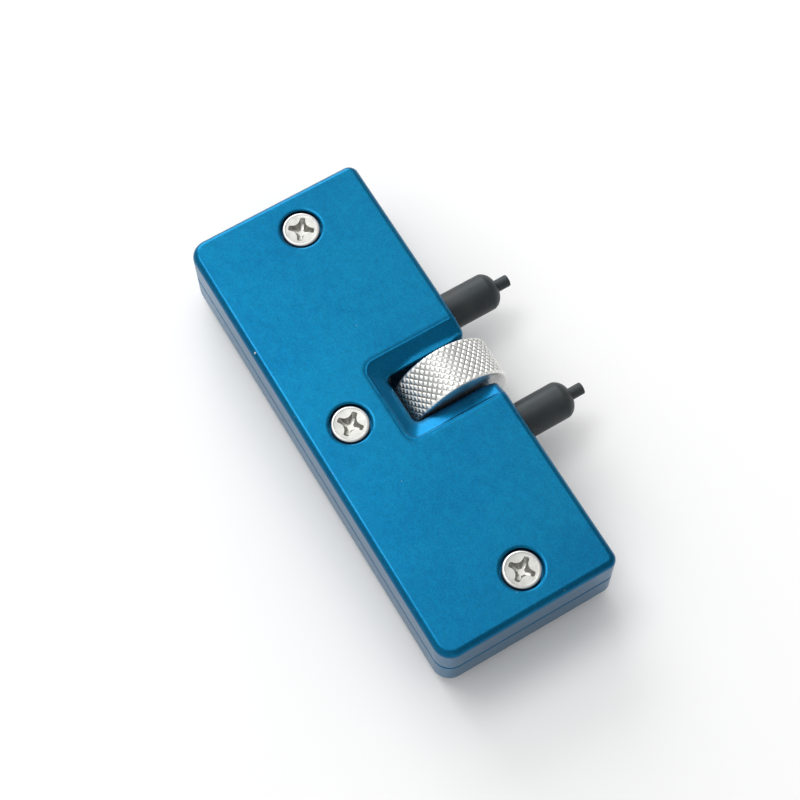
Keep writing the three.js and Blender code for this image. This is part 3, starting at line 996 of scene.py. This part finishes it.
def knurl_band():
    """Diamonds between two crossing sets of grooves, with a bevel at each side."""
    band = Band("Knurl", {
        "Radius": 7.4, "Start": -3.0, "End": 3.0, "Bevel": 0.5, "Depth": 0.22,
        "Teeth": 45, "Rows": 6, "Steps": KNURL_STEPS,
    })
    teeth, rows, steps = band.given("Teeth"), band.given("Rows"), band.given("Steps")
    start, end = band.given("Start"), band.given("End")

    def radius_of(share, height, x):
        one, other = share * teeth + height * rows, share * teeth - height * rows
        gap = [(t - t.math("ROUND")).math("ABSOLUTE") for t in (one, other)]
        crest = (gap[0].low(gap[1]) / KNURL_GROOVE).clamp()
        from_side, bevel = (x - start).low(end - x), band.given("Bevel")
        inward = 1 - (from_side / bevel).clamp()
        shoulder = bevel * (1 - (1 - inward * inward).math("SQRT"))
        fade = from_side.over(bevel * 0.4, bevel * 1.2)
        groove = (1 - crest) * fade
        return band.given("Radius") - shoulder - band.given("Depth") * groove, 1 - groove

    return band.wrap(teeth * steps, rows * steps, radius_of, start, end)


def thread_band():
    """A screw thread that fades out at both ends. A hand of 1 is right and -1 is left."""
    band = Band("Thread", {
        "Start": 0.0, "End": 10.0, "Radius": 1.75, "Depth": 0.34, "Pitch": 0.6, "Hand": 1.0,
        "Steps around": 32, "Steps along": 320,
    })
    start, end, pitch = band.given("Start"), band.given("End"), band.given("Pitch")
    root = band.given("Radius") - band.given("Depth")

    def radius_of(share, height, x):
        turn = x / pitch - share * band.given("Hand")
        ridge = (turn - turn.math("FLOOR") - 0.5).math("ABSOLUTE") * 2
        crest = (ridge * 1.4 - 0.2).clamp()
        fade = (x - start).low(end - x).high(0.0)
        return (root + band.given("Depth") * crest).low(root + fade), crest

    return band.wrap(band.given("Steps around"), band.given("Steps along"), radius_of, start, end)


# ---- The wheel ----


WHEEL_BORE, WHEEL_BORE_EDGE = 2.55, 0.25
SET_SCREW_HOLE = 1.55


class OPENER_OT_wheel(bpy.types.Operator):
    """The knurled thumbwheel, with its bore and the hole for its set screw"""

    bl_idname = "opener.wheel"
    bl_label = "Build Thumbwheel"

    def execute(self, context):
        wheel = context.scene.opener_wheel
        size = sizes(wheel)
        steps = wheel.teeth * KNURL_STEPS
        start, end = WHEEL_LO[0], WHEEL_HI[0]
        bore, soft = WHEEL_BORE, WHEEL_BORE_EDGE
        rim = WHEEL_RADIUS - size["bevel"]
        profile = [
            (rim, end), (bore + soft, end), (bore + soft * 0.3, end - soft * 0.3),
            (bore, end - soft), (bore, start + soft),
            (bore + soft * 0.3, start + soft * 0.3), (bore + soft, start), (rim, start),
        ]
        points, faces = turned(profile, steps, "X")
        piece = new_object("thumbwheel_knurled", points * HALF_TURN, faces)
        store(piece.data, "crest", np.ones(len(points)))  # no grooves on the turned part
        # The knurl's grooves get painted shade; the turned part, marked as all crest, gets none
        steel = bright_metal("knurled steel", wheel.metal, wheel.groove_shade, 0.36, 900, "crest")
        knurl_band().put_on(piece, {
            "Radius": WHEEL_RADIUS, "Start": start, "End": end, "Bevel": size["bevel"],
            "Depth": size["knurl_depth"], "Teeth": wheel.teeth, "Rows": wheel.rows,
            "Material": steel,
        })
        keep_result(piece)
        fix_normals(piece)
        middle = ((start + end) / 2, 0, 0)
        carve(piece, [rod(SET_SCREW_HOLE, -2 * WHEEL_RADIUS, -1, "Z", middle)])
        shade(piece, 34)
        piece.data.transform(Matrix.Translation((0, SCREW_AXIS[1], SCREW_AXIS[2])))
        finish_piece(piece, "drive", steel, ["thumbwheel"])
        return {"FINISHED"}


def fix_normals(piece):
    """Turns a piece's faces outwards and stops if it isn't closed."""
    body = bmesh.new()
    body.from_mesh(piece.data)
    open_edges = sum(1 for edge in body.edges if not edge.is_manifold)
    bmesh.ops.recalc_face_normals(body, faces=body.faces)
    body.to_mesh(piece.data)
    body.free()
    if open_edges:
        raise RuntimeError(f"{piece.name} has {open_edges} open edges")


# ---- The spindle ----


SPINDLE_RADIUS, HUB_RADIUS, JOURNAL_RADIUS = 1.75, 2.25, 1.25
JOURNAL_EDGE = 0.25
THREAD_END = 27.6  # from the middle of the case to the journals
STEPS_AROUND, STEPS_A_PITCH = 32, 8


class OPENER_OT_spindle(bpy.types.Operator):
    """The lead screw, left-handed towards +X and right-handed towards -X"""

    bl_idname = "opener.spindle"
    bl_label = "Build Lead Screw"

    def execute(self, context):
        spindle = context.scene.opener_spindle
        size = sizes(spindle)
        hi = corners("lead_screw")[1]
        root, tip = SPINDLE_RADIUS - size["thread_depth"], hi[0]
        steel = bright_metal("turned steel", spindle.metal, (0.16, 0.16, 0.17), 0.34, 1400)
        outer = [
            (root, THREAD_END), (JOURNAL_RADIUS, THREAD_END), (JOURNAL_RADIUS, tip - JOURNAL_EDGE),
            (JOURNAL_RADIUS - JOURNAL_EDGE, tip), (0, tip),
        ]
        left, right = WHEEL_LO[0], WHEEL_HI[0]
        middle = [(root, left), (HUB_RADIUS, left), (HUB_RADIUS, right), (root, right)]
        points, faces = [], []
        for profile in ([(r, -h) for r, h in reversed(outer)], middle, outer):
            more, more_faces = turned(profile, STEPS_AROUND, "X")
            faces += [tuple(len(points) + v for v in face) for face in more_faces]
            points += (more * HALF_TURN).tolist()
        piece = new_object("lead_screw_threaded", points, faces)
        band = thread_band()
        for start, end, hand in ((-THREAD_END, left, 1.0), (right, THREAD_END, -1.0)):
            along = int(abs(end - start) / size["pitch"] * STEPS_A_PITCH)
            band.put_on(piece, {
                "Start": start, "End": end, "Radius": SPINDLE_RADIUS,
                "Depth": size["thread_depth"], "Pitch": size["pitch"], "Hand": hand,
                "Steps around": STEPS_AROUND, "Steps along": along, "Material": steel,
            })
        keep_result(piece)
        fix_normals(piece)
        shade(piece, 34)
        piece.data.transform(Matrix.Translation((0, SCREW_AXIS[1], SCREW_AXIS[2])))
        finish_piece(piece, "drive", steel, ["lead_screw"])
        return {"FINISHED"}


# ---- Case screws ----

SCREW_TURNS = (53, 40, 36)  # of each cross recess, in degrees
HEAD_HEIGHT, SHANK_RADIUS, SHANK_THREAD = 1.7, 1.5, 0.27
SHANK_STEPS = 96
# Each level of the recess: the share of its length and width that is left, and its place
CROSS_LEVELS = (
    (1.03, 1.12, 0.3), (1.03, 1.12, 0), (1, 1, -0.05),
    (0.88, 0.9, -0.35), (0.7, 0.75, -0.75), (0.3, 0.45, -1),
)


def cross_recess(size):
    """A cross recess: four wings with hollow curves between them, narrower at the bottom."""
    half, width = size["cross_length"] / 2, size["cross_width"] / 2
    web = size["cross_web"]
    depth, steps = size["cross_depth"], np.linspace(0, 1, 7)[:, None]
    rings = []
    for reach, wide, z in CROSS_LEVELS:
        tip, side, middle = half * reach, width * wide, web * wide / math.sqrt(2)
        start, end = np.array([tip - 0.1, side]), np.array([side, tip - 0.1])
        pull = 2 * middle - (start + end) / 2
        curve = (1 - steps) ** 2 * start + 2 * steps * (1 - steps) * pull + steps ** 2 * end
        quarter = np.concatenate([[(tip, -side * 0.5), (tip, side * 0.5)], curve])
        ring = np.concatenate([quarter @ quarter_turn(k).T for k in range(4)])
        rings.append(np.column_stack([ring, np.full(len(ring), z if z > 0 else z * depth)]))
    return lofted(rings)


def quarter_turn(times):
    return np.array(Matrix.Rotation(math.radians(90 * times), 2)).round()


def mark_rim_highlight_and_recess_shading(piece, size, head):
    """Stores where a screw gets painted light: 1 on the rim of its head, for the painted
    highlight, 0 in its recess, for its painted shading.
    """
    points = read(piece.data.vertices, "co", width=3)
    away = np.hypot(points[:, 0], points[:, 1])
    inside = (away < size["cross_length"] / 2 + 0.2) & (points[:, 2] < -0.02)
    rim = np.clip((away - head + size["head_edge"] + 0.08) / 0.2, 0, 1)
    rim *= points[:, 2] > -size["head_edge"] * 1.1
    tone = np.where(inside, np.clip(0.3 + points[:, 2] * 0.5, 0, 0.5), 0.5 + 0.5 * rim)
    store(piece.data, "tone", tone)


def screw_master(size, metal):
    """One case screw with the top of its head at the origin."""
    lo, hi = corners("case_screw_middle")
    head = (hi[0] - lo[0]) / 2
    foot = lo[2] - hi[2]
    seat, shank, edge, around = -HEAD_HEIGHT, SHANK_RADIUS, size["head_edge"], 64
    root = shank - SHANK_THREAD
    profile = [(root, seat - 0.3), (shank, seat), (head - 0.1, seat), (head, seat + 0.1)]
    for angle in (0, 22, 45, 68, 90):
        turn = math.radians(angle)
        profile.append((head - edge * (1 - math.cos(turn)), -edge * 0.8 * (1 - math.sin(turn))))
    dish = size["dish"]
    profile += [(head - edge - 0.03, -dish * 0.3), (head - edge - 0.12, -dish), (0, -dish)]
    top, faces = turned(profile, around, "X")
    end, end_faces = turned([(root, foot), (0, foot)], around, "X")
    faces += [tuple(len(top) + v for v in face) for face in end_faces]
    piece = new_object("case_screw_master", np.concatenate([top, end]) * HALF_TURN, faces)
    thread_band().put_on(piece, {
        "Start": foot, "End": seat - 0.3, "Radius": shank, "Depth": SHANK_THREAD,
        "Pitch": size["pitch"], "Hand": 1.0, "Steps around": around,
        "Steps along": SHANK_STEPS, "Material": metal,
    })
    keep_result(piece)
    piece.data.transform(Matrix.Rotation(math.radians(-90), 4, "Y"))
    fix_normals(piece)
    carve(piece, [cross_recess(size)])
    mark_rim_highlight_and_recess_shading(piece, size, head)
    return piece


def set_of_screws(master, metal):
    """A tree that puts a copy of the master on each point, turned by the point's own angle."""
    tree = bpy.data.node_groups.new("Set of screws", "GeometryNodeTree")
    tree_socket(tree, "Points", "Geometry")
    screw = tree_socket(tree, "Screw", "Object")
    coat = tree_socket(tree, "Material", "Material")
    tree_socket(tree, "Geometry", "Geometry", "OUTPUT")
    nodes = Nodes(tree)
    source = tree.nodes.new("NodeGroupInput")
    points, part, finish = (Value(nodes, socket) for socket in source.outputs[:3])
    shape = nodes.add("GeometryNodeObjectInfo", {}, {"Object": part}, "Geometry")
    turn = nodes.add("GeometryNodeInputNamedAttribute", {"data_type": "FLOAT"}, {"Name": "turn"})
    spin = nodes.add("ShaderNodeCombineXYZ", {}, {"Z": turn})
    sockets = {"Points": points, "Instance": shape, "Rotation": spin}
    placed = nodes.add("GeometryNodeInstanceOnPoints", {}, sockets)
    real = nodes.add("GeometryNodeRealizeInstances", {}, {"Geometry": placed})
    done = nodes.add("GeometryNodeSetMaterial", {}, {"Geometry": real, "Material": finish})
    nodes.add("NodeGroupOutput", {}, {"Geometry": done})
    return tree, {screw.identifier: master, coat.identifier: metal}


class OPENER_OT_case_screws(bpy.types.Operator):
    """Three cross-recessed screws that hold the shells together"""

    bl_idname = "opener.case_screws"
    bl_label = "Build Case Screws"

    def execute(self, context):
        screws = context.scene.opener_screws
        metal = satin_nickel(screws)
        master = screw_master(sizes(screws), metal)
        tops = [np.append(centre(node)[:2], corners(node)[1][2]) for node in CASE_SCREWS]
        mesh = bpy.data.meshes.new("case_screws")
        mesh.from_pydata([tuple(top) for top in tops], [], [])
        store(mesh, "turn", np.radians(SCREW_TURNS))
        piece = bpy.data.objects.new("case_screws", mesh)
        bpy.context.scene.collection.objects.link(piece)
        modifier = piece.modifiers.new("Set of screws", "NODES")
        modifier.node_group, values = set_of_screws(master, metal)
        for key, value in values.items():
            modifier[key] = value
        keep_result(piece)
        bpy.data.objects.remove(master)
        shade(piece, 32)
        finish_piece(piece, "case", metal, CASE_SCREWS)
        return {"FINISHED"}


# ---- Jaw pins ----


NECK_RADIUS, TIP_RADIUS = 1.05, 0.88
TIP_LENGTH, SHOULDER_LENGTH = 2.05, 1.1
CROSS_HOLE = 2.05  # for the lead screw


class OPENER_OT_pins(bpy.types.Operator):
    """Two stepped pins of black steel, tapped across for the lead screw"""

    bl_idname = "opener.pins"
    bl_label = "Build Jaw Pins"

    def execute(self, context):
        pins = context.scene.opener_pins
        size = sizes(pins)
        coat = black_oxide(pins)
        for side in ("left", "right"):
            node = "jaw_pin_" + side
            lo, hi = corners(node)
            middle = (lo + hi) / 2
            radius = (hi[0] - lo[0]) / 2
            neck, tip = NECK_RADIUS, TIP_RADIUS
            front = hi[1] - TIP_LENGTH - SHOULDER_LENGTH
            dome, bevel = size["dome"], size["tip_edge"]
            profile = [
                (0, lo[1]), (radius - 0.35, lo[1]),
                (radius - 0.1, lo[1] + 0.1), (radius, lo[1] + 0.35),
            ]
            for angle in (0, 8, 18, 30, 42, 54, 66, 76, 84):
                turn = math.radians(angle)
                bulge = math.cos(turn) ** 1.2
                rise = math.sin(turn) ** 1.2
                place_y = front + 1.05 - dome + dome * rise
                profile.append((neck + (radius - neck) * bulge, place_y))
            profile += [
                (neck - 0.03, front + 1.05), (tip + 0.06, front + 1.08),
                (tip, front + 1.18), (tip, hi[1] - bevel),
                (tip - bevel * 0.3, hi[1] - bevel * 0.3), (tip - bevel, hi[1]), (0, hi[1]),
            ]
            at = (middle[0], 0, middle[2])
            piece = new_object(node + "_turned", *turned(profile, 72, "Y", at))
            spot = (middle[0], SCREW_AXIS[1], SCREW_AXIS[2])
            carve(piece, [rod(CROSS_HOLE, -4, 4, "X", spot)])
            mark_turned_edges(piece, middle, profile)
            shade(piece, 32)
            finish_piece(piece, side + "_jaw", coat, [node])
        return {"FINISHED"}


def mark_turned_edges(piece, middle, profile):
    """Stores how near each point lies to a corner of the profile."""
    points = read(piece.data.vertices, "co", width=3)
    radius = np.hypot(points[:, 0] - middle[0], points[:, 2] - middle[2])
    bends = np.array(profile[1:-1])
    gaps = np.hypot(radius[:, None] - bends[:, 0], points[:, 1][:, None] - bends[:, 1])
    store(piece.data, "edge", np.clip(1 - gaps.min(1) / 0.3, 0, 1))


# ---- Inner pieces that keep their CAD shape ----

BRASS, DARK_BRASS = (0.62, 0.43, 0.16), (0.25, 0.16, 0.06)
GROUND_STEEL, DARK_STEEL = (0.55, 0.55, 0.56), (0.2, 0.2, 0.21)
KEPT_FINISHES = {
    "brass": (
        "jaw_carrier_left", "jaw_carrier_right", "end_bearing_left", "end_bearing_right",
        "screw_insert_left", "screw_insert_middle", "screw_insert_right",
    ),
    "steel": ("thrust_washer_left", "thrust_washer_right", "dowel_left", "dowel_right"),
    "black": ("wheel_set_screw",),
}


class OPENER_OT_inner(bpy.types.Operator):
    """Finishes for the carriers, bearings, washers, inserts, dowels and set screw"""

    bl_idname = "opener.inner"
    bl_label = "Finish Inner Pieces"

    def execute(self, context):
        coats = {
            "brass": bright_metal("brass", BRASS, DARK_BRASS, 0.34, 1100),
            "steel": bright_metal("ground steel", GROUND_STEEL, DARK_STEEL, 0.3, 1300),
            "black": black_oxide(context.scene.opener_pins),
        }
        for finish, names in KEPT_FINISHES.items():
            for name in names:
                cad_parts[name].material_slots[0].material = coats[finish]
        return {"FINISHED"}


# ---- Stage ----


DARK_SIDE = (0.452, 0.653, 0.603)  # towards the darker side of the studio
DARK_START, DARK_FULL = 0.38, 0.82  # how squarely a direction faces it
DARK_TONE = 0.55


def softbox(name, direction, distance, width, power):
    """A square area light that looks at the origin."""
    lamp = bpy.data.lights.new(name, "AREA")
    lamp.shape = "SQUARE"
    lamp.size = width
    lamp.energy = power
    light = bpy.data.objects.new(name, lamp)
    away = Vector(direction).normalized()
    light.location = away * distance
    light.rotation_euler = away.to_track_quat("Z", "Y").to_euler()
    bpy.context.scene.collection.objects.link(light)


class OPENER_OT_stage(bpy.types.Operator):
    """A plain pale floor, soft studio lights and the camera"""

    bl_idname = "opener.stage"
    bl_label = "Build Stage"

    def execute(self, context):
        scene, stage = context.scene, context.scene.opener_stage
        square = [(-3, -3, 0), (3, -3, 0), (3, 3, 0), (-3, 3, 0)]
        floor = new_object("floor", square, [(0, 1, 2, 3)])

        def paint(nodes, spot):
            grain = nodes.noise(spot, 40, 3)
            faint = opaque([c * 0.96 for c in stage.floor])
            tone = nodes.mix(grain * 0.15, opaque(stage.floor), faint)
            return {"Base Color": tone, "Roughness": 0.8, "Specular IOR Level": 0.2}

        floor.data.materials.append(material("pale floor", paint))
        world = bpy.data.worlds.new("studio")
        world.use_nodes = True
        world.node_tree.nodes.clear()
        nodes = Nodes(world.node_tree)
        facing = {"operation": "DOT_PRODUCT"}
        sky = nodes.add("ShaderNodeTexCoord", out="Generated")
        share = nodes.add("ShaderNodeVectorMath", facing, {0: sky, 1: DARK_SIDE}, "Value")
        dark = share.over(DARK_START, DARK_FULL)
        tone = nodes.mix(dark, (1, 1, 1, 1), opaque([DARK_TONE] * 3))
        light = nodes.add("ShaderNodeBackground", {}, {"Color": tone, "Strength": stage.world})
        nodes.add("ShaderNodeOutputWorld", {}, {"Surface": light})
        scene.world = world
        softbox("key light", (-0.36, -0.17, 0.92), 0.6, 0.22, stage.key)
        softbox("top light", (-0.3, 0.15, 0.94), 0.7, 0.5, stage.top)
        softbox("side light", (-0.9, 0.1, 0.45), 0.6, 0.4, stage.side)
        scene.view_settings.view_transform = "Standard"
        lens = bpy.data.cameras.new("camera")
        lens.lens, lens.sensor_width = stage.lens, 36
        lens.clip_start = 0.01
        camera = bpy.data.objects.new("camera", lens)
        spot, target = Vector(stage.camera), Vector(stage.target)
        look = (target - spot).to_track_quat("-Z", "Y").to_matrix().to_4x4()
        camera.matrix_world = Matrix.Translation(spot) @ look @ Matrix.Rotation(stage.roll, 4, "Z")
        scene.collection.objects.link(camera)
        scene.camera = camera
        return {"FINISHED"}


OPERATORS = (
    OPENER_OT_stage, OPENER_OT_case, OPENER_OT_wheel, OPENER_OT_spindle,
    OPENER_OT_case_screws, OPENER_OT_pins, OPENER_OT_inner,
)


class OPENER_PT_panel(bpy.types.Panel):
    """Lists the pieces of the opener and their sizes"""

    bl_idname = "OPENER_PT_panel"
    bl_label = "Case Back Opener"
    bl_space_type = "VIEW_3D"
    bl_region_type = "UI"
    bl_category = "Opener"

    def draw(self, context):
        for operator in OPERATORS:
            self.layout.operator(operator.bl_idname)
        for name, kind in SETTINGS.items():
            box = self.layout.box()
            box.label(text=kind.__name__)
            for key in kind.__annotations__:
                box.prop(getattr(context.scene, name), key)


def register():
    for kind in (*SETTINGS.values(), *OPERATORS, OPENER_PT_panel):
        bpy.utils.register_class(kind)
    for name, kind in SETTINGS.items():
        setattr(bpy.types.Scene, name, PointerProperty(type=kind))


def unregister():
    for name in SETTINGS:
        delattr(bpy.types.Scene, name)
    for kind in reversed((*SETTINGS.values(), *OPERATORS, OPENER_PT_panel)):
        bpy.utils.unregister_class(kind)


def main():
    register()
    for operator in OPERATORS:
        group, name = operator.bl_idname.split(".")
        getattr(getattr(bpy.ops, group), name)()


if __name__ == "__main__":
    main()
